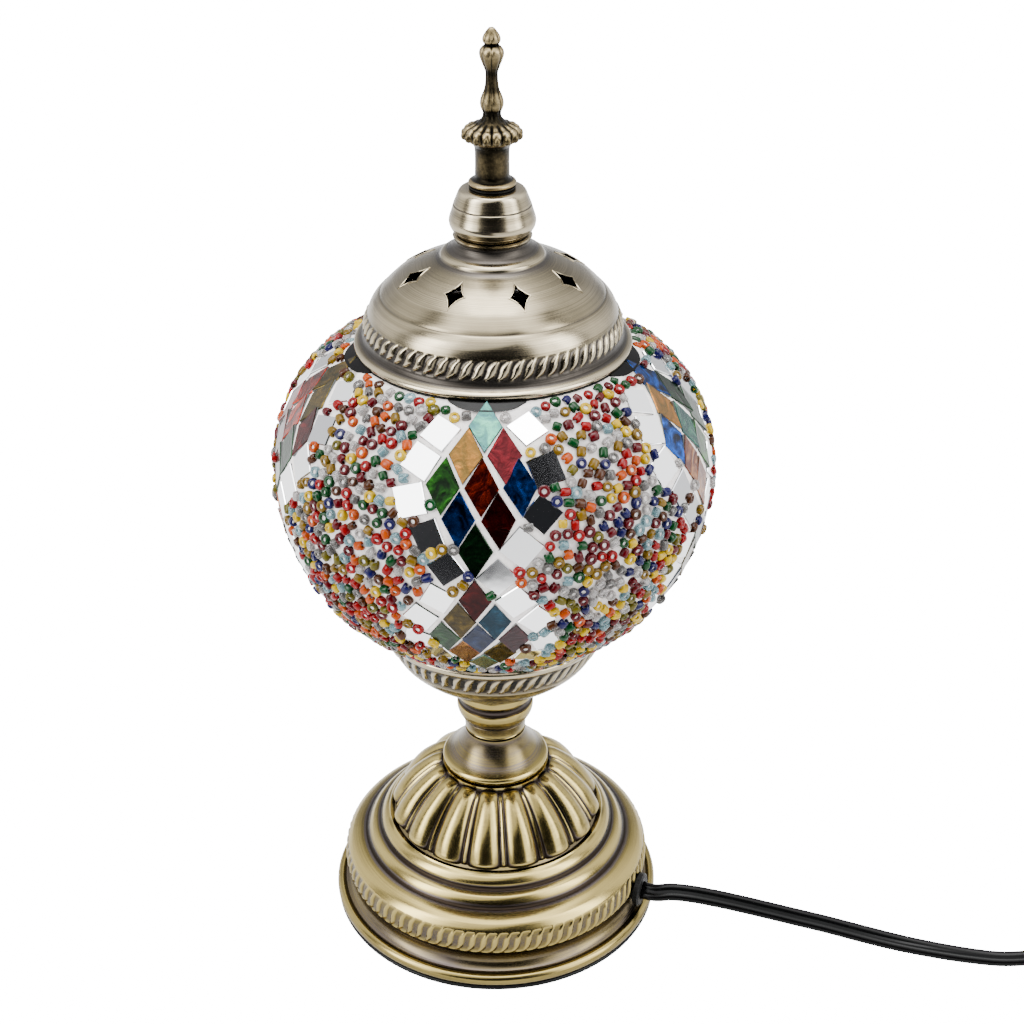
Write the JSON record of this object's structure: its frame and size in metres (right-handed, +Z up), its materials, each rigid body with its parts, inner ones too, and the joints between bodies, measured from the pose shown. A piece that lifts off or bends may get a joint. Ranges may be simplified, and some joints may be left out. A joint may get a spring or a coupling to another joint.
{
  "type": "mosaic glass table lamp",
  "caption": "Table lamp with a fluted brass foot, a squat glass globe covered in seed beads and mirror tiles, a pierced dome cap with a finial, and a coiled flex with switch and plug.",
  "frame": {"origin": "on the table, on the lamp's axis, under the middle of the base", "axes": "+Z up along the lamp's axis, -Y towards the viewer, and +X to the viewer's right, where the flex leaves"},
  "size_m": [0.4371, 0.1528, 0.338],
  "materials": {
    "black_rubber": "satin",
    "plated_steel": "satin",
    "iron": "rough",
    "antique_brass": "antiqued, polished on the high spots",
    "pewter_brass": "antiqued, finely brushed",
    "cast_brass": "cast, darkened in the hollows",
    "bright_brass": "bright",
    "socket_plastic": "satin",
    "clear_glass": "clear",
    "mosaic": "glossy beads and mirror tiles in pale grout",
    "black_vinyl": "satin"
  },
  "bodies": {
    "stand": {"base_pad": "black_rubber", "bottom_plate": "plated_steel", "base_weight": "iron", "base_shell": "antique_brass", "cord_grommet": "black_rubber", "neck_cone": "antique_brass", "neck_spool": "antique_brass", "rod_tube": "plated_steel", "lower_nut": "plated_steel", "lower_washer": "plated_steel", "cup_washer": "plated_steel", "upper_nut": "plated_steel", "riser_sleeve": "plated_steel", "lower_cup": "pewter_brass", "bottom_gasket": "black_rubber", "harp_frame": "plated_steel", "stud": "plated_steel", "stud_nut_lower": "plated_steel", "stud_nut_upper": "plated_steel", "socket_body": "socket_plastic", "socket_screw_shell": "bright_brass", "socket_contact": "bright_brass", "inner_lead": "black_vinyl", "cord_run": "black_vinyl", "cord_link": "black_vinyl", "cord_coil": "black_vinyl", "cord_tail": "black_vinyl", "switch_base": "black_vinyl", "switch_cover": "black_vinyl", "plug_body": "black_vinyl", "plug_blade_left": "bright_brass", "plug_blade_right": "bright_brass"},
    "globe": {"mosaic_skin": "mosaic", "globe_glass": "clear_glass", "top_gasket": "black_rubber"},
    "cap": {"cap_dome": "pewter_brass", "vase_knob": "pewter_brass", "finial_washer": "black_rubber"},
    "finial_slide": {"finial_insert": "bright_brass"},
    "finial": {"finial": "cast_brass"},
    "bulb_slide": {"bulb_tip": "plated_steel"},
    "bulb": {"bulb_base": "bright_brass", "bulb_glass": "clear_glass"},
    "rocker": {"switch_rocker": "black_vinyl"}
  },
  "joints": [
    {"name": "globe_lift", "type": "slide", "parent": "stand", "child": "globe", "axis": [0, 0, 1], "range_m": [0, 0.175]},
    {"name": "cap_lift", "type": "slide", "parent": "globe", "child": "cap", "axis": [0, 0, 1], "range_m": [0, 0.06]},
    {"name": "finial_travel", "type": "slide", "parent": "cap", "child": "finial_slide", "axis": [0, 0, 1], "range_m": [0, 0.0081]},
    {"name": "finial_turn", "type": "hinge", "parent": "finial_slide", "child": "finial", "pos_m": [0, 0, 0.29], "axis": [0, 0, 1], "range_deg": [0, 2880]},
    {"name": "bulb_travel", "type": "slide", "parent": "stand", "child": "bulb_slide", "axis": [0, 0, 1], "range_m": [0, 0.0103]},
    {"name": "bulb_turn", "type": "hinge", "parent": "bulb_slide", "child": "bulb", "pos_m": [0, 0, 0.14], "axis": [0, 0, 1], "range_deg": [0, 1440]},
    {"name": "rocker_tilt", "type": "hinge", "parent": "stand", "child": "rocker", "pos_m": [0.243, -0.053, 0.0124], "axis": [0.0523, 0.9986, 0], "range_deg": [-16, 0]}
  ],
  "couplings": [
    {"joint": "finial_travel", "follows": "finial_turn", "m_per_rad": 0.00015915},
    {"joint": "bulb_travel", "follows": "bulb_turn", "m_per_rad": 0.00040425}
  ]
}
